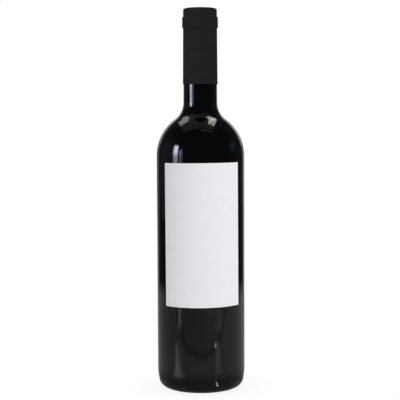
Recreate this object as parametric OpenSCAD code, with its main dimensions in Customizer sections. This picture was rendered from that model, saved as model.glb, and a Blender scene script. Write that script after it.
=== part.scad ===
/* [Bottle] */
// Height of the glass, from the ring it stands on to its mouth
bottle_h = 328; // [260:1:400]
// Diameter of the body
bottle_d = 76; // [60:0.5:95]
// Depth below the mouth at which the shoulder starts and the straight side ends
shoulder_drop = 126; // [115:0.5:150]
// Radius of the rounded shoulder
shoulder_r = 39; // [28:0.5:48]
// Radius of the hollow curve from the shoulder into the neck
neck_curve_r = 18; // [8:0.5:26]
// Diameter of the neck at its foot
neck_d = 29.2; // [24:0.1:34]
// Diameter of the neck just under the ring at the mouth
neck_top_d = 28.3; // [24:0.1:34]

/* [Mouth] */
// Diameter of the lip above the ring
lip_d = 28.1; // [24:0.1:34]
// Height of the lip above the ring
lip_h = 6.6; // [3:0.1:10]
// Rounding of the lip
lip_edge_r = 1.2; // [0.4:0.1:2]
// Diameter of the ring round the mouth
ring_d = 29.9; // [26:0.1:36]
// Height of the ring
ring_h = 10.3; // [5:0.1:14]
// Rounding of the ring's edges
ring_edge_r = 1.6; // [0.4:0.1:2]
// Diameter of the bore at the mouth
bore_d = 18.6; // [15:0.1:21]
// Depth of that bore, before the neck widens inside
bore_depth = 45; // [30:1:50]
// Diameter of the hollow neck below the bore
throat_d = 19.8; // [16:0.1:22]

/* [Base] */
// Height over which the side draws in a little above the heel
heel_rise = 12; // [6:0.1:24]
// Radius of that drawn-in stretch
heel_side_r = 66; // [40:1:120]
// Radius of the heel
heel_r = 8.8; // [4:0.1:12]
// Width of the flat ring that the bottle stands on
bearing_w = 1.2; // [0.6:0.1:3]
// Rounding between the flat ring and the punt
foot_r = 3; // [1:0.1:6]
// Height of the punt
punt_h = 27; // [12:0.5:40]

/* [Glass] */
// Wall of the body and the shoulder
body_wall = 4.1; // [2:0.1:5]
// Glass over the punt and in the base
base_wall = 6; // [3:0.1:9]
// Rounding inside the base
inner_heel_r = 10; // [4:0.5:16]

/* [Wine] */
// Depth of the wine's surface below the mouth
fill_drop = 62; // [50:1:150]

/* [Capsule] */
// Length of the capsule, from its top to its lower edge
capsule_h = 65; // [35:0.5:75]
// Wall of the capsule
capsule_wall = 0.35; // [0.2:0.05:0.6]
// Clearance between the capsule and the side of the glass
capsule_clear = 0.15; // [0.05:0.05:0.4]

/* [Label] */
// Width of the label, measured round the body
label_w = 71.7; // [30:0.1:140]
// Height of the label's lower edge
label_rise = 74.7; // [30:0.1:100]
// Bare glass between the label's upper edge and the shoulder
label_gap = 5.3; // [0:0.1:30]
// Thickness of the label
label_t = 0.2; // [0.1:0.05:0.5]

/* [Hidden] */

// Longest step along a round stretch, in degrees
arc_step = 5;
$fn = 180;

body_h = bottle_h - shoulder_drop;
bottle_r = bottle_d / 2;
neck_r = neck_d / 2;
ring_top = bottle_h - lip_h;
ring_low = ring_top - ring_h;
bore_low = bottle_h - bore_depth;
capsule_low = bottle_h + capsule_wall - capsule_h;

// The heel is two arcs: a long one that leaves the side upright, and a short
// one that carries on from it and ends flat on the ground.
heel_angle = asin(heel_rise / heel_side_r);
heel_x = bottle_r - heel_side_r + (heel_side_r - heel_r) * cos(heel_angle);
heel_top = heel_r + (heel_side_r - heel_r) * sin(heel_angle);

// The punt is a dome over a rounded foot.
punt_r = heel_x - bearing_w - foot_r;
punt_rise = punt_h - foot_r;
punt_dome_r = (punt_r * punt_r + punt_rise * punt_rise) / (2 * punt_rise);
punt_dome_z = punt_h - punt_dome_r;

// Angle at which a shoulder arc that leaves side_r upright meets the hollow
// curve that runs up into a neck of radius end_r
function join_angle(side_r, arc_r, curve_r, end_r) =
    acos((end_r + curve_r - side_r + arc_r) / (arc_r + curve_r));

// Height at which that hollow curve ends and the neck starts
function neck_low(side_r, arc_r, curve_r, end_r) =
    body_h + (arc_r + curve_r) * sin(join_angle(side_r, arc_r, curve_r, end_r));

outside_neck_low = neck_low(bottle_r, shoulder_r, neck_curve_r, neck_r);

// Outer radius of the neck at height z
function neck_at(z) =
    neck_r + (neck_top_d / 2 - neck_r) * (z - outside_neck_low) / (ring_low - outside_neck_low);

// Points along an arc round [x, z], between two angles
function arc(x, z, r, from, to) =
    let (steps = max(1, ceil(abs(to - from) / arc_step)))
    [for (i = [0:steps])
        let (a = from + (to - from) * i / steps)
        [x + r * cos(a), z + r * sin(a)]];

// Shoulder and hollow curve, from the side up to the foot of the neck
function shoulder_points(side_r, arc_r, curve_r, end_r) =
    let (angle = join_angle(side_r, arc_r, curve_r, end_r))
    concat(
        arc(side_r - arc_r, body_h, arc_r, 0, angle),
        arc(end_r + curve_r, neck_low(side_r, arc_r, curve_r, end_r), curve_r, 180 + angle, 180)
    );

// Angle at which an edge arc of radius r round x comes down to a narrower side
function side_angle(side_x, x, r) = acos(min(1, max(0, (side_x - x) / r)));

// Neck from height z0, ring and lip up to the axis, grown outwards by grow and
// at the top by rise
function mouth_points(z0, grow, rise) =
    let (ring_edge = ring_edge_r + grow, ring_x = ring_d / 2 + grow - ring_edge)
    let (lip_edge = lip_edge_r + grow, lip_x = lip_d / 2 + grow - lip_edge)
    let (under = neck_top_d / 2 + grow, over = lip_d / 2 + grow)
    concat(
        [[neck_at(z0) + grow, z0]],
        [if (under < ring_x) [under, ring_low - grow]],
        arc(ring_x, ring_low - grow + ring_edge, ring_edge, -side_angle(under, ring_x, ring_edge), 0),
        arc(ring_x, ring_top + grow - ring_edge, ring_edge, 0, side_angle(over, ring_x, ring_edge)),
        [if (over < ring_x) [over, ring_top + grow]],
        arc(lip_x, bottle_h + rise - lip_edge, lip_edge, 0, 90),
        [[0, bottle_h + rise]]
    );

module outside_2d() {
    polygon(concat(
        arc(0, punt_dome_z, punt_dome_r, 90, atan2(foot_r - punt_dome_z, punt_r)),
        arc(punt_r + foot_r, foot_r, foot_r, 180, 270),
        arc(heel_x, heel_r, heel_r, -90, -heel_angle),
        arc(bottle_r - heel_side_r, heel_top, heel_side_r, -heel_angle, 0),
        shoulder_points(bottle_r, shoulder_r, neck_curve_r, neck_r),
        mouth_points(ring_low, 0, 0)
    ));
}

// The hollow of the bottle, up to height top
module inside_2d(top) {
    side_r = bottle_r - body_wall;
    throat_r = throat_d / 2;
    intersection() {
        difference() {
            polygon(concat(
                [[0, base_wall]],
                arc(side_r - inner_heel_r, base_wall + inner_heel_r, inner_heel_r, -90, 0),
                shoulder_points(side_r, shoulder_r - body_wall, neck_curve_r + body_wall, throat_r),
                [
                    [throat_r, bore_low - abs(throat_r - bore_d / 2)],
                    [bore_d / 2, bore_low],
                    [bore_d / 2, bottle_h + 1],
                    [0, bottle_h + 1],
                ]
            ));
            translate([0, punt_dome_z]) circle(punt_dome_r + base_wall);
        }
        square([bottle_r, top]);
    }
}

module bottle() {
    color("#1c2216")
        rotate_extrude()
            difference() {
                outside_2d();
                inside_2d(bottle_h + 1);
            }
}

module wine() {
    color("#2a0510")
        rotate_extrude() inside_2d(bottle_h - fill_drop);
}

module sleeve_2d(z0, grow, rise) {
    polygon(concat(mouth_points(z0, grow, rise), [[0, z0]]));
}

module capsule() {
    color("#212224")
        rotate_extrude()
            difference() {
                sleeve_2d(capsule_low, capsule_clear + capsule_wall, capsule_wall);
                sleeve_2d(capsule_low - 1, capsule_clear, 0);
            }
}

module label() {
    angle = label_w / bottle_r * 180 / PI;
    label_h = body_h - label_gap - label_rise;
    color("#e2e4e6")
        rotate_extrude(angle = angle, start = -90 - angle / 2)
            translate([bottle_r, label_rise]) square([label_t, label_h]);
}

bottle();
wine();
capsule();
label();
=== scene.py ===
import math

import bmesh
import bpy
from mathutils import Matrix, Vector


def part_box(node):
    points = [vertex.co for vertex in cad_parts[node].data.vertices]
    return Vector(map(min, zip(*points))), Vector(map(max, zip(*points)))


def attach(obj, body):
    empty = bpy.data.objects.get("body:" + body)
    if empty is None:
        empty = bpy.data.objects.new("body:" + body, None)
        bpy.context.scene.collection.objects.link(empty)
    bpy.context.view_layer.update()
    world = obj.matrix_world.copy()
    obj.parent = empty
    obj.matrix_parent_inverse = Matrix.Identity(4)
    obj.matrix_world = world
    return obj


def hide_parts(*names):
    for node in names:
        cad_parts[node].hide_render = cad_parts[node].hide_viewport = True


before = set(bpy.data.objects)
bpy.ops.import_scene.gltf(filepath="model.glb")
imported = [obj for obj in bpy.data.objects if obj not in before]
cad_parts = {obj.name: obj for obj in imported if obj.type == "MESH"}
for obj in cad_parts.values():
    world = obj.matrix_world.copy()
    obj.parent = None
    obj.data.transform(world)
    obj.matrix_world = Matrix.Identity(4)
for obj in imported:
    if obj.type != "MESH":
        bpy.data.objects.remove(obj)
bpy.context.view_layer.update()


# Bottle: a tall, straight-sided 750 ml claret bottle with a domed punt and a ring round its
# mouth. It is dark green soda-lime glass, blown in one piece in a two-part mould, which
# leaves a fine seam down each side, and it stands on a knurled ring round the punt.

MM = 0.001

bottle_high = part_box("bottle")[1]
mouth_z = bottle_high.z
body_r = bottle_high.x

shoulder_z = mouth_z - 126 * MM
shoulder_r = 39 * MM
neck_curve_r = 18 * MM
neck_r = 14.6 * MM
neck_top_r = 14.15 * MM
lip_r = 14.05 * MM
lip_edge = 1.2 * MM
ring_r = 14.95 * MM
ring_edge = 1.6 * MM
ring_top_z = mouth_z - 6.6 * MM
ring_low_z = ring_top_z - 10.3 * MM
bore_r = 9.3 * MM
bore_z = mouth_z - 45 * MM
throat_r = 9.9 * MM
heel_rise = 12 * MM
heel_side_r = 66 * MM
heel_r = 8.8 * MM
bearing_w = 1.2 * MM
foot_r = 3 * MM
punt_z = 27 * MM
body_wall = 4.1 * MM
base_wall = 6 * MM
inner_heel_r = 10 * MM
seam_h = 0.07 * MM
seam_w = 0.5 * MM
seam_low_z = 8 * MM
knurl_h = 0.25 * MM
knurls = 72
mouth_edge = 1 * MM
bottle_columns = 288

# The heel is two arcs, a long one from the upright side and a short one down to the ground.
heel_angle = math.asin(heel_rise / heel_side_r)
heel_x = body_r - heel_side_r + (heel_side_r - heel_r) * math.cos(heel_angle)
heel_top_z = heel_r + (heel_side_r - heel_r) * math.sin(heel_angle)
punt_r = heel_x - bearing_w - foot_r
dome_r = (punt_r**2 + (punt_z - foot_r) ** 2) / (2 * (punt_z - foot_r))
dome_z = punt_z - dome_r


def arc(x, z, r, start, end, step=math.radians(4)):
    """Points round (x, z) from one angle to another."""
    count = max(1, math.ceil(abs(end - start) / step))
    angles = [start + (end - start) * i / count for i in range(count + 1)]
    return [(x + r * math.cos(a), z + r * math.sin(a)) for a in angles]


def straight(start, end, count):
    """Points between two others, without the ends."""
    shares = [i / count for i in range(1, count)]
    return [tuple(a + (b - a) * s for a, b in zip(start, end)) for s in shares]


def shoulder(side, round_r, hollow_r, neck):
    """The shoulder's arc and the hollow one into the neck, and where the neck starts."""
    lean = math.acos((neck + hollow_r - side + round_r) / (round_r + hollow_r))
    foot_z = shoulder_z + (round_r + hollow_r) * math.sin(lean)
    points = arc(side - round_r, shoulder_z, round_r, 0, lean, math.radians(2))
    points += arc(neck + hollow_r, foot_z, hollow_r, math.pi + lean, math.pi, math.radians(3))[1:]
    return points, foot_z


shoulder_points, neck_foot_z = shoulder(body_r, shoulder_r, neck_curve_r, neck_r)


def neck_at(z):
    """The neck's outer radius at a height."""
    share = (z - neck_foot_z) / (ring_low_z - neck_foot_z)
    return neck_r + (neck_top_r - neck_r) * share


def edge_start(side, x, r):
    """The angle at which an edge's arc comes out of a narrower side."""
    return math.acos(min(1, max(0, (side - x) / r)))


def mouth(z, grow, rise):
    """The neck from a height, the ring and the lip, grown outwards and up."""
    ring_a = ring_edge + grow
    ring_x = ring_r + grow - ring_a
    lip_a = lip_edge + grow
    lip_x = lip_r + grow - lip_a
    under = edge_start(neck_top_r + grow, ring_x, ring_a)
    over = edge_start(lip_r + grow, ring_x, ring_a)
    points = [(neck_at(z) + grow, z)]
    points += straight(points[0], (neck_top_r + grow, ring_low_z - grow), 12)
    points += arc(ring_x, ring_low_z - grow + ring_a, ring_a, -under, 0, math.radians(12))
    points += arc(ring_x, ring_top_z + grow - ring_a, ring_a, 0, over, math.radians(12))
    points += straight(points[-1], (lip_x + lip_a, mouth_z + rise - lip_a), 16)
    points += arc(lip_x, mouth_z + rise - lip_a, lip_a, 0, math.pi / 2, math.radians(12))
    return points


def hollow(grow, top_z):
    """The inside from the middle of its floor up to a height, grown outwards."""
    side = body_r - body_wall + grow
    heel = inner_heel_r + grow
    dome = dome_r + base_wall - grow
    centre = Vector((side - heel, base_wall - grow + heel - dome_z))
    turn = (centre.length_squared + dome**2 - heel**2) / (2 * centre.length * dome)
    meet = math.atan2(centre.y, centre.x) - math.acos(turn)
    corner = Vector((dome * math.cos(meet), dome * math.sin(meet))) - centre
    points = arc(0, dome_z, dome, math.pi / 2, meet)
    points += arc(centre.x, centre.y + dome_z, heel, math.atan2(corner.y, corner.x), 0)[1:]
    points += shoulder(
        side, shoulder_r - body_wall + grow, neck_curve_r + body_wall - grow, throat_r + grow
    )[0]
    return points + [(throat_r + grow, top_z)]


def turned(name, outline, columns, relief=None):
    """A mesh turned round the Z axis. relief moves a point of the outline at an angle."""
    mesh = bmesh.new()
    rings = []
    for x, z in outline:
        if x < 1e-7:
            rings.append([mesh.verts.new((0, 0, z))])
            continue
        ring = []
        for a in columns:
            r, h = relief(x, z, a) if relief else (x, z)
            ring.append(mesh.verts.new((r * math.cos(a), r * math.sin(a), h)))
        rings.append(ring)
    for low, high in zip(rings, rings[1:]):
        for i in range(len(columns)):
            j = (i + 1) % len(columns)
            corners = [low[i % len(low)], low[j % len(low)], high[j % len(high)], high[i % len(high)]]
            face = mesh.faces.new(list(dict.fromkeys(corners)))
            face.smooth = True
    bmesh.ops.recalc_face_normals(mesh, faces=mesh.faces)
    data = bpy.data.meshes.new(name)
    mesh.to_mesh(data)
    mesh.free()
    piece = bpy.data.objects.new(name, data)
    bpy.context.scene.collection.objects.link(piece)
    return piece


def glass_relief(x, z, a):
    """The mould's seam down each side, and the knurls on the ring that the bottle stands on."""
    off = abs(math.remainder(a, math.pi)) * x
    r, h = x, z
    if seam_low_z < z < ring_low_z - 2 * MM and x > throat_r + 1 * MM:
        r += seam_h * (max(0, 1 - off / seam_w) - 1)
    if z < 0.3 * MM and abs(x - heel_x) < 3 * MM:
        h += knurl_h * (0.5 - 0.5 * math.cos(a * knurls)) ** 2
    return r, h


columns = [2 * math.pi * i / bottle_columns for i in range(bottle_columns)]
# Closer columns at each seam, a quarter of its half width apart.
for side_a in (0, math.pi):
    columns += [(side_a + n * 0.25 * seam_w / body_r) % (2 * math.pi) for n in (-4, -2, -1, 1, 2, 4)]
columns = sorted(columns)

outside = arc(0, dome_z, dome_r, math.pi / 2, math.atan2(foot_r - dome_z, punt_r))
outside += arc(punt_r + foot_r, foot_r, foot_r, math.pi, 1.5 * math.pi, math.radians(9))[1:]
outside += arc(heel_x, heel_r, heel_r, -math.pi / 2, -heel_angle)
outside += arc(body_r - heel_side_r, heel_top_z, heel_side_r, -heel_angle, 0, math.radians(1))[1:]
outside += straight((body_r, heel_top_z), (body_r, shoulder_z), 24)
outside += shoulder_points
outside += mouth(neck_foot_z, 0, 0)[1:]
inside = hollow(0, bore_z - (throat_r - bore_r))
inside += [(bore_r, bore_z)]
rim_x, rim_z = bore_r + mouth_edge, mouth_z - mouth_edge
rim = arc(rim_x, rim_z, mouth_edge, math.pi / 2, math.pi, math.radians(15))
bottle = turned("bottle_glass", outside + rim + inside[::-1], columns, glass_relief)


def linear(code):
    """An sRGB hex colour as the linear values that the shaders take."""
    shares = [int(code[i : i + 2], 16) / 255 for i in (1, 3, 5)]
    return [s / 12.92 if s <= 0.04045 else ((s + 0.055) / 1.055) ** 2.4 for s in shares] + [1.0]


def add(tree, kind, inputs=None, **settings):
    """A node with its settings, and its inputs as values or as sockets to link from."""
    made = tree.nodes.new(kind)
    for key, value in settings.items():
        setattr(made, key, value)
    for key, value in (inputs or {}).items():
        if isinstance(value, bpy.types.NodeSocket):
            tree.links.new(value, made.inputs[key])
        else:
            made.inputs[key].default_value = value
    return made


def blank(name):
    """A material with an empty tree and its output."""
    made = bpy.data.materials.new(name)
    made.use_nodes = True
    made.node_tree.nodes.clear()
    return made, made.node_tree, add(made.node_tree, "ShaderNodeOutputMaterial")


def spread(tree, value, low, high, start, end, easing="LINEAR"):
    """A value taken from start to end as it goes from low to high."""
    limits = {"Value": value, "From Min": low, "From Max": high, "To Min": start, "To Max": end}
    return add(tree, "ShaderNodeMapRange", limits, interpolation_type=easing).outputs[0]


# Antique green container glass, blown in an iron mould: nearly black in this thickness, with
# a bright polish that the mould leaves faintly wavy, and a little handling haze on it.
glass, tree, out = blank("antique_green_container_glass")
place = add(tree, "ShaderNodeTexCoord")
# The waves that the mould leaves are about 22 mm from crest to crest.
waves = add(
    tree,
    "ShaderNodeTexNoise",
    {"Vector": place.outputs["Object"], "Scale": 1 / 0.022, "Detail": 1.0},
)
# Grains of the mould's coating are about 0.3 mm and are drawn at 1.5 mm, so that they show.
grain = add(tree, "ShaderNodeTexNoise", {"Vector": place.outputs["Object"], "Scale": 1 / 0.0015})
haze = spread(tree, grain.outputs["Fac"], 0.35, 0.75, 0.015, 0.05)
bump = add(tree, "ShaderNodeBump", {"Height": waves.outputs["Fac"], "Distance": 0.10 * MM})
shader = add(
    tree,
    "ShaderNodeBsdfPrincipled",
    {
        "Base Color": linear("#1c2216"),
        "IOR": 1.52,
        "Transmission Weight": 1.0,
        "Roughness": haze,
        "Normal": bump.outputs["Normal"],
    },
)
tree.links.new(shader.outputs["BSDF"], out.inputs["Surface"])
bottle.data.materials.append(glass)
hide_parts("bottle")
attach(bottle, "root")


# Wine: a dry red that fills the bottle to 62 mm under the mouth, which is hidden by the
# capsule. It reaches a hair into the glass all round, so that no gap shows between them.

wine_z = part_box("wine")[1].z
wine_reach = 0.05 * MM
wine_columns = 144
wine_outline = hollow(wine_reach, wine_z)
wine_outline += [(throat_r * share, wine_z) for share in (0.66, 0.33, 0)]
turns = [2 * math.pi * i / wine_columns for i in range(wine_columns)]
wine = turned("red_wine", wine_outline, turns)


def blend(tree, share, first, second):
    """A colour between two, given as sRGB codes, by a share."""
    mixed = add(tree, "ShaderNodeMix", {"Factor": share}, data_type="RGBA")
    mixed.inputs[6].default_value = linear(first)
    mixed.inputs[7].default_value = linear(second)
    return mixed.outputs[2]


# Young red wine in bulk: almost black with purple-red in it, and a wet, level surface.
red, tree, out = blank("dry_red_wine_in_bulk")
place = add(tree, "ShaderNodeTexCoord")
# Clouds of colour are about 40 mm wide.
cloud = add(tree, "ShaderNodeTexNoise", {"Vector": place.outputs["Object"], "Scale": 1 / 0.04})
depth = blend(tree, cloud.outputs["Fac"], "#1d040b", "#2e0611")
shader = add(tree, "ShaderNodeBsdfPrincipled", {"Base Color": depth, "IOR": 1.34, "Roughness": 0.08})
tree.links.new(shader.outputs["BSDF"], out.inputs["Surface"])
wine.data.materials.append(red)
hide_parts("wine")
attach(wine, "root")


# Capsule: a shrink sleeve of black PVC film with a pressed top disc, slid over the mouth and
# shrunk on with heat. It follows the lip and the ring, and its lower edge is a clean cut.

film = 0.35 * MM
clear = 0.15 * MM
skin = clear + film
cut_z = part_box("capsule")[0].z
outer = mouth(cut_z, skin, film)
inner = mouth(cut_z, clear, 0)
disc_r = 11.4 * MM
disc_edge = 0.25 * MM
top_z = mouth_z + film
# The top disc is pressed down a little inside its rim.
disc_z = top_z - 0.12 * MM
top = [(disc_r, top_z), (disc_r - disc_edge, disc_z)]
top += [(x * MM, disc_z) for x in (8, 5, 2.5, 0)]
# The cut edge is rounded over the film's thickness.
cut = arc(inner[0][0] + film / 2, cut_z + film / 2, film / 2, math.pi, 2 * math.pi, math.radians(30))
sleeve = [(0, mouth_z), (6 * MM, mouth_z)] + inner[:0:-1] + cut + outer[1:] + top

# Heights of the fine creases round it, each with its depth and half its width.
creases = [
    (ring_low_z - 1.4 * MM, 0.06 * MM, 0.8 * MM),
    (ring_top_z + 1.6 * MM, 0.10 * MM, 0.35 * MM),
    (ring_top_z + 4.2 * MM, 0.12 * MM, 0.35 * MM),
]


def capsule_relief(x, z, a):
    """The creases that shrinking leaves under the ring and round the lip, on the outside only."""
    r = x
    if x > neck_top_r + skin - 0.1 * MM and z < top_z - 1 * MM:
        r -= sum(deep * math.exp(-(((z - at) / wide) ** 2)) for at, deep, wide in creases)
    return r, z


capsule_columns = 192
turns = [2 * math.pi * i / capsule_columns for i in range(capsule_columns)]
capsule = turned("capsule_sleeve", sleeve, turns, capsule_relief)

# Shrunk PVC film, calendered with a fine matt grain and dyed through: an even near-black with
# hardly any sheen, and faint ripples round it where the film has drawn in, with painted shade in them.
film_black, tree, out = blank("matt_black_pvc_film")
place = add(tree, "ShaderNodeTexCoord")
# The grain is about 0.1 mm and is drawn at 0.5 mm.
grain = add(tree, "ShaderNodeTexNoise", {"Vector": place.outputs["Object"], "Scale": 1 / 0.0005})
squash = add(tree, "ShaderNodeVectorMath", {0: place.outputs["Object"]}, operation="MULTIPLY")
squash.inputs[1].default_value = (1, 1, 6)
# Ripples run round the neck, 3 mm apart.
ripple = add(tree, "ShaderNodeTexNoise", {"Vector": squash.outputs[0], "Scale": 1 / 0.018})
matt = spread(tree, grain.outputs["Fac"], 0.3, 0.7, 0.78, 0.88)
# Painted shade: the tone follows the ripples, a little lighter on their crests and darker in their
# troughs.
tone = blend(tree, ripple.outputs["Fac"], "#17181b", "#1c1d20")
ripples = add(tree, "ShaderNodeBump", {"Height": ripple.outputs["Fac"], "Distance": 0.08 * MM})
bump = add(tree, "ShaderNodeBump", {"Height": grain.outputs["Fac"], "Distance": 0.01 * MM})
tree.links.new(ripples.outputs["Normal"], bump.inputs["Normal"])
shader = add(
    tree,
    "ShaderNodeBsdfPrincipled",
    {
        "Base Color": tone,
        "IOR": 1.53,
        "Specular IOR Level": 0.2,
        "Roughness": matt,
        "Normal": bump.outputs["Normal"],
    },
)
tree.links.new(shader.outputs["BSDF"], out.inputs["Surface"])
capsule.data.materials.append(film_black)
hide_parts("capsule")
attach(capsule, "root")


# Label: one bare front label of uncoated white paper, die-cut with square corners, wet-glued
# to the straight side. It went on a third of a degree askew, as machine labels often do.

label_low, label_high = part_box("label")
label_w = 71.7 * MM
paper = 0.2 * MM
label_in_r = body_r - seam_h
label_out_r = body_r + paper
label_mid_z = (label_low.z + label_high.z) / 2
label_h = label_high.z - label_low.z
askew = 0.0054
edge = 0.05 * MM


def on_body(across, up, r):
    """A point of the flat label, wrapped on the body at a radius."""
    s = across - up * askew
    z = label_mid_z + up + across * askew
    a = s / body_r
    return r * math.sin(a), -r * math.cos(a), z


mesh = bmesh.new()
count_x, count_z = 72, 24
front, back = [], []
for j in range(count_z + 1):
    up = label_h * (j / count_z - 0.5)
    front.append([])
    back.append([])
    for i in range(count_x + 1):
        across = label_w * (i / count_x - 0.5)
        # The cut edges are pressed down, so the face rounds over them by a hair.
        inner_x = max(-label_w / 2 + edge, min(label_w / 2 - edge, across))
        inner_z = max(-label_h / 2 + edge, min(label_h / 2 - edge, up))
        front[j].append(mesh.verts.new(on_body(inner_x, inner_z, label_out_r)))
        back[j].append(mesh.verts.new(on_body(across, up, label_in_r)))
for j in range(count_z):
    for i in range(count_x):
        face = mesh.faces.new([front[j][i], front[j][i + 1], front[j + 1][i + 1], front[j + 1][i]])
        face.smooth = True
        face = mesh.faces.new([back[j][i], back[j + 1][i], back[j + 1][i + 1], back[j][i + 1]])
        face.smooth = True


def border(grid):
    """The points round a grid's edge, in order."""
    right = [row[-1] for row in grid[:-1]]
    left = [row[0] for row in grid[:0:-1]]
    return grid[0][:-1] + right + grid[-1][:0:-1] + left


rim_f, rim_b = border(front), border(back)
for i in range(len(rim_f)):
    j = (i + 1) % len(rim_f)
    face = mesh.faces.new([rim_f[j], rim_f[i], rim_b[i], rim_b[j]])
    face.material_index = 1
bmesh.ops.recalc_face_normals(mesh, faces=mesh.faces)
for side in mesh.edges:
    side.smooth = len({face.material_index for face in side.link_faces}) == 1
data = bpy.data.meshes.new("front_label")
mesh.to_mesh(data)
mesh.free()
label = bpy.data.objects.new("front_label", data)
bpy.context.scene.collection.objects.link(label)

# Uncoated wet-strength label paper, machine-made and calendered: a cool white with no shine,
# faintly mottled, with fibres that lie along the web.
label_paper, tree, out = blank("uncoated_label_paper")
place = add(tree, "ShaderNodeTexCoord")
# Fibres are 1.5 mm long and 0.03 mm wide, and are drawn 0.4 mm wide.
along = add(tree, "ShaderNodeVectorMath", {0: place.outputs["Object"]}, operation="MULTIPLY")
along.inputs[1].default_value = (1, 1, 4)
fibre = add(
    tree, "ShaderNodeTexNoise", {"Vector": along.outputs[0], "Scale": 1 / 0.0016, "Detail": 3.0}
)
# The pulp's clouds are about 9 mm wide.
mottle = add(tree, "ShaderNodeTexNoise", {"Vector": place.outputs["Object"], "Scale": 1 / 0.009})
tone = blend(tree, mottle.outputs["Fac"], "#e4e5e8", "#e8e9ec")
bump = add(tree, "ShaderNodeBump", {"Height": fibre.outputs["Fac"], "Distance": 0.012 * MM})
shader = add(
    tree,
    "ShaderNodeBsdfPrincipled",
    {
        "Base Color": tone,
        "IOR": 1.45,
        "Roughness": 0.75,
        "Normal": bump.outputs["Normal"],
    },
)
tree.links.new(shader.outputs["BSDF"], out.inputs["Surface"])
label.data.materials.append(label_paper)

# The same paper where the die has cut it: bare pulp, drawn whiter than the face, partly its own colour
# and partly a painted highlight along the cut edges.
cut_edge_highlight, tree, out = blank("die_cut_edge_painted_highlight")
place = add(tree, "ShaderNodeTexCoord")
torn = add(tree, "ShaderNodeTexNoise", {"Vector": place.outputs["Object"], "Scale": 1 / 0.0008})
# Painted highlight: the edge colour is lighter than the paper's own, so that the cut shows as a bright
# line.
tone = blend(tree, torn.outputs["Fac"], "#eeeef2", "#f8f8fb")
shader = add(tree, "ShaderNodeBsdfPrincipled", {"Base Color": tone, "Roughness": 0.9})
tree.links.new(shader.outputs["BSDF"], out.inputs["Surface"])
label.data.materials.append(cut_edge_highlight)
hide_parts("label")
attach(label, "root")


# Table: a plain pale sheet under the bottle, which isn't part of it.

# The camera looks from 2 degrees to the left of the label, and the studio is squared to it.
turn = -0.0365
facing = Matrix.Rotation(turn, 4, "Z")
sheet_side = 1.6
corners = [(-sheet_side, -sheet_side), (sheet_side, -sheet_side)]
corners += [(sheet_side, sheet_side), (-sheet_side, sheet_side)]
data = bpy.data.meshes.new("table_sheet")
data.from_pydata([Vector((x, y, 0)) for x, y in corners], [], [(0, 1, 2, 3)])
table = bpy.data.objects.new("table_sheet", data)
table.rotation_euler = (0, 0, turn)
bpy.context.scene.collection.objects.link(table)

# White studio paper: blank to the eye apart from a soft touch of shade where the bottle meets
# it, and a mid grey in the glass, because it is lit from above and not from the room.
studio, tree, out = blank("white_studio_paper")
rays = add(tree, "ShaderNodeLightPath")
shade = add(tree, "ShaderNodeAmbientOcclusion", {"Distance": 0.03}, samples=16)
touch = spread(tree, shade.outputs["AO"], 0, 1, 0.86, 1)
seen = add(tree, "ShaderNodeEmission", {"Strength": touch})
place = add(tree, "ShaderNodeTexCoord")
split = add(tree, "ShaderNodeSeparateXYZ", {0: place.outputs["Object"]})


def step(tree, value, low, high, start=0.0, end=1.0):
    """A value eased from start to end as it goes from low to high."""
    return spread(tree, value, low, high, start, end, "SMOOTHSTEP")


def times(tree, *values):
    """The product of several values."""
    product = values[0]
    for value in values[1:]:
        product = add(tree, "ShaderNodeMath", {0: product, 1: value}, operation="MULTIPLY").outputs[0]
    return product


away = add(tree, "ShaderNodeVectorMath", {0: place.outputs["Object"]}, operation="LENGTH")
across = step(tree, split.outputs["X"], -0.25, 0.25, 0.33, 0.43)
# The bottle shades the sheet round its foot, and the light falls off half a metre out, except
# behind the bottle, where the sheet runs up to the backdrop.
foot = step(tree, away.outputs["Value"], 0.036, 0.12, 0.50, 1.0)
ends = step(tree, away.outputs["Value"], 0.50, 0.72, 1.0, 0.12)
heading = add(tree, "ShaderNodeVectorMath", {0: place.outputs["Object"]}, operation="NORMALIZE")
heading = add(tree, "ShaderNodeSeparateXYZ", {0: heading.outputs[0]})
behind = step(tree, heading.outputs["Y"], 0.74, 0.88)
reach = add(tree, "ShaderNodeMath", {0: ends, 1: behind}, operation="MAXIMUM").outputs[0]
# Painted shade: a darker band runs across the sheet 20 cm in front, where a gap lies, and past it the
# light is bluer.
in_front = step(tree, split.outputs["Y"], -0.165, -0.195)
past_gap = step(tree, split.outputs["Y"], -0.235, -0.205)
gap_shade = spread(tree, times(tree, in_front, past_gap), 0, 1, 1.0, 0.68)
tints = add(tree, "ShaderNodeMix", {"Factor": in_front}, data_type="RGBA")
tints.inputs[6].default_value = (0.92, 1.0, 0.95, 1)
tints.inputs[7].default_value = (0.80, 0.83, 0.90, 1)
strength = times(tree, across, foot, reach, gap_shade)
mirrored = add(tree, "ShaderNodeEmission", {"Color": tints.outputs[2], "Strength": strength})
lit = add(tree, "ShaderNodeEmission", {"Strength": 0.85})
gloss_or_not = add(tree, "ShaderNodeMixShader", {0: rays.outputs["Is Diffuse Ray"]})
tree.links.new(mirrored.outputs[0], gloss_or_not.inputs[1])
tree.links.new(lit.outputs[0], gloss_or_not.inputs[2])
whole = add(tree, "ShaderNodeMixShader", {0: rays.outputs["Is Camera Ray"]})
tree.links.new(gloss_or_not.outputs[0], whole.inputs[1])
tree.links.new(seen.outputs[0], whole.inputs[2])
tree.links.new(whole.outputs[0], out.inputs["Surface"])
table.data.materials.append(studio)


# Room: plain white behind the bottle, a band of bright backdrop that shows as thin rims in
# the glass, dark where the room is unlit in front, and soft light on paper and film.

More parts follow.
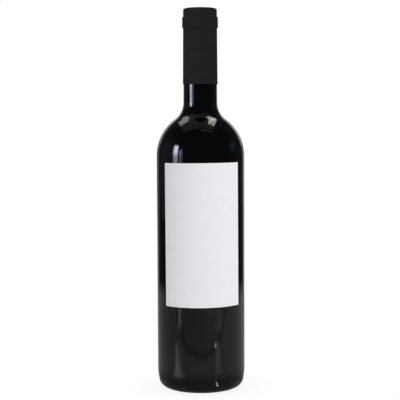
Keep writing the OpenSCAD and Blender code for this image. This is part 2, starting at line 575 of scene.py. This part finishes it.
world = bpy.data.worlds.new("studio_room")
bpy.context.scene.world = world
world.use_nodes = True
tree = world.node_tree
tree.nodes.clear()
out = add(tree, "ShaderNodeOutputWorld")
rays = add(tree, "ShaderNodeLightPath")
place = add(tree, "ShaderNodeTexCoord")
squared = add(tree, "ShaderNodeVectorRotate", {"Vector": place.outputs["Generated"], "Angle": -turn})
squared.rotation_type = "Z_AXIS"
split = add(tree, "ShaderNodeSeparateXYZ", {0: squared.outputs[0]})
# 1 where the backdrop is, in a band behind the bottle above the level of its shoulder.
behind = step(tree, split.outputs["Y"], 0.74, 0.88)
above = step(tree, split.outputs["Z"], 0.50, 0.36)
over = step(tree, split.outputs["Z"], 0.05, 0.14, 0.35, 1.0)
side = step(tree, split.outputs["X"], -0.3, 0.3, 0.6, 1.0)
band = times(tree, behind, above, over, side)
room = add(tree, "ShaderNodeMix", {"Factor": band}, data_type="RGBA")
room.inputs[6].default_value = (0.050, 0.055, 0.062, 1)
room.inputs[7].default_value = (1.0, 0.98, 0.96, 1)
# The wall round the window, at the left, is a little lighter than the rest of the room.
near_wall = step(tree, split.outputs["X"], -0.75, -0.96, 1.0, 2.1)
in_glass = add(tree, "ShaderNodeBackground", {"Color": room.outputs[2], "Strength": near_wall})
# The soft light comes more from the right and from the front.
lean = add(tree, "ShaderNodeVectorMath", {0: squared.outputs[0]}, operation="DOT_PRODUCT")
lean.inputs[1].default_value = (0.568, -0.487, 0)
soft = add(tree, "ShaderNodeMath", {0: lean.outputs["Value"], 1: 0.79}, operation="ADD")
on_paper = add(tree, "ShaderNodeBackground", {"Strength": soft.outputs[0]})
backing = add(tree, "ShaderNodeBackground")
for maker, tint in ((on_paper, (0.99, 1.0, 1.01, 1)), (backing, (1, 1, 1, 1))):
    maker.inputs["Color"].default_value = tint
by_diffuse = add(tree, "ShaderNodeMixShader", {0: rays.outputs["Is Diffuse Ray"]})
tree.links.new(in_glass.outputs[0], by_diffuse.inputs[1])
tree.links.new(on_paper.outputs[0], by_diffuse.inputs[2])
whole = add(tree, "ShaderNodeMixShader", {0: rays.outputs["Is Camera Ray"]})
tree.links.new(by_diffuse.outputs[0], whole.inputs[1])
tree.links.new(backing.outputs[0], whole.inputs[2])
tree.links.new(whole.outputs[0], out.inputs["Surface"])


# Lamps: glowing cards that only the glass and the film mirror. A tall window at the left draws
# the streak down the neck and the blob on the shoulder, and two warm panels on the ceiling draw
# the shoulder's two patches. None of them is part of the bottle.


def glow_card(name, middle, across, up, colour, strength, fade):
    """A card round a middle, with its two half sides, faded over a share of each of them."""
    middle, across, up = (facing @ Vector(v) for v in (middle, across, up))
    corners = [middle - across - up, middle + across - up, middle + across + up, middle - across + up]
    data = bpy.data.meshes.new(name)
    data.from_pydata(corners, [], [(0, 1, 2, 3)])
    layer = data.uv_layers.new(name="card")
    for i, uv in enumerate(((0, 0), (1, 0), (1, 1), (0, 1))):
        layer.data[i].uv = uv
    card = bpy.data.objects.new(name, data)
    bpy.context.scene.collection.objects.link(card)
    glow, tree, out = blank(name)
    place = add(tree, "ShaderNodeTexCoord")
    split = add(tree, "ShaderNodeSeparateXYZ", {0: place.outputs["UV"]})
    shares = []
    for axis, (near, far) in (("X", fade[:2]), ("Y", fade[2:])):
        shares.append(step(tree, split.outputs[axis], 0, max(near, 0.001)))
        shares.append(step(tree, split.outputs[axis], 1, 1 - max(far, 0.001)))
    power = times(tree, *shares, strength)
    shine = add(tree, "ShaderNodeEmission", {"Color": linear(colour), "Strength": power})
    bare = add(tree, "ShaderNodeBsdfTransparent")
    summed = add(tree, "ShaderNodeAddShader", {0: shine.outputs[0], 1: bare.outputs[0]})
    tree.links.new(summed.outputs[0], out.inputs["Surface"])
    card.data.materials.append(glow)
    card.visible_camera = False
    card.visible_diffuse = False
    card.visible_shadow = False


def bearing(azimuth, distance, z):
    """A point at an angle round from the camera, positive to the right, and at a height."""
    a = math.radians(azimuth)
    return Vector((math.sin(a) * distance, -math.cos(a) * distance, z))


def standing(name, azimuth, distance, half_width, low_z, high_z, colour, strength, fade):
    """A card that stands upright and faces the bottle."""
    a = math.radians(azimuth)
    across = Vector((math.cos(a), math.sin(a), 0)) * half_width
    middle = bearing(azimuth, distance, (low_z + high_z) / 2)
    up = Vector((0, 0, (high_z - low_z) / 2))
    glow_card(name, middle, across, up, colour, strength, fade)


ceiling_rise = 1.5
shoulder_mirror = Vector((0, 0, 0.235))


def overhead(name, left, right, near, far, colour, strength, fade):
    """A card on the ceiling, its sides given as shares of its height over the shoulder."""
    middle = Vector(((left + right) / 2, (near + far) / 2, 1)) * ceiling_rise + shoulder_mirror
    across = Vector(((right - left) / 2, 0, 0)) * ceiling_rise
    up = Vector((0, (far - near) / 2, 0)) * ceiling_rise
    glow_card(name, middle, across, up, colour, strength, fade)


def on_sheet(name, start, end, half_width, colour, strength, fade):
    """A streak of light lying on the table from one point to another."""
    start, end = Vector((*start, 0.001)), Vector((*end, 0.001))
    along = (end - start) / 2
    side = Vector((-along.y, along.x, 0)).normalized() * half_width
    glow_card(name, (start + end) / 2, along, side, colour, strength, fade)


standing("window_pane", -69.6, 0.95, 0.155, 0.05, 0.64, "#dfe6ff", 15.5, (0.50, 0.10, 0.58, 0.24))
standing("window_edge", -51, 0.95, 0.12, 0.05, 0.52, "#dfe6ff", 3.2, (0.15, 0.8, 0.5, 0.45))
standing("blue_wall", 95, 1.2, 0.30, 0.26, 0.80, "#5c98c4", 0.50, (0.5, 0.3, 0.35, 0.35))
standing("white_wall", 168, 0.55, 0.13, -0.02, 0.245, "#fffdf8", 0.5, (0.25, 0.05, 0.05, 0.15))
overhead("right_panel", 0.255, 0.51, -0.01, 0.74, "#fffaf4", 5.3, (0.06, 0.10, 0.14, 0.14))
overhead("left_panel", -0.78, -0.355, 0.25, 0.98, "#fffaf4", 2.7, (0.22, 0.10, 0.18, 0.15))
overhead("ceiling", -0.80, 0.56, -0.31, 1.00, "#e8ddd0", 0.21, (0.1, 0.05, 0.05, 0.1))
overhead("ceiling_light", -0.05, 0.56, -0.45, -0.34, "#fff6ea", 0.45, (0.2, 0.1, 0.3, 0.3))
on_sheet("near_streak", (-0.045, -0.041), (-0.235, -0.118), 0.022, "#e9f0ff", 0.95, (0.1, 0.2, 0.5, 0.5))
on_sheet("near_haze", (-0.042, -0.048), (-0.20, -0.14), 0.024, "#e9f0ff", 0.45, (0.1, 0.2, 0.5, 0.5))
on_sheet("far_streak", (-0.25, -0.172), (-0.52, -0.345), 0.048, "#e6ecff", 1.0, (0.2, 0.3, 0.5, 0.5))
on_sheet("right_spot", (0.123, -0.192), (0.165, -0.212), 0.016, "#ffffff", 4.2, (0.5, 0.5, 0.5, 0.5))
on_sheet("right_haze", (0.035, -0.055), (0.21, -0.23), 0.030, "#f0f4ff", 0.40, (0.3, 0.4, 0.5, 0.5))
on_sheet("right_glow", (0.19, -0.20), (0.40, -0.36), 0.10, "#f0f4ff", 0.22, (0.3, 0.4, 0.5, 0.5))
on_sheet("far_spot", (0.155, -0.40), (0.195, -0.415), 0.018, "#e8f0ff", 0.9, (0.5, 0.5, 0.5, 0.5))
on_sheet("foot_spot", (0.0185, -0.0355), (0.028, -0.054), 0.0024, "#ffffff", 6.0, (0.4, 0.5, 0.5, 0.5))


# Camera: a 101 mm portrait lens 0.97 m from the bottle's axis, level with its shoulder and
# turned 4 degrees down, as for a packshot.

shot = bpy.data.cameras.new("packshot")
shot.sensor_width = 36.0
shot.lens = 101.08
camera = bpy.data.objects.new("packshot", shot)
bpy.context.scene.collection.objects.link(camera)
camera_at = (-0.000621, -0.97464, 0.2311)
look_down = 0.0694
roll = -0.0040
tilt = Matrix.Rotation(math.pi / 2 - look_down, 4, "X") @ Matrix.Rotation(roll, 4, "Z")
camera.matrix_world = facing @ Matrix.Translation(camera_at) @ tilt
bpy.context.scene.camera = camera

bpy.context.scene.view_settings.view_transform = "Standard"
bpy.context.scene.view_settings.look = "None"
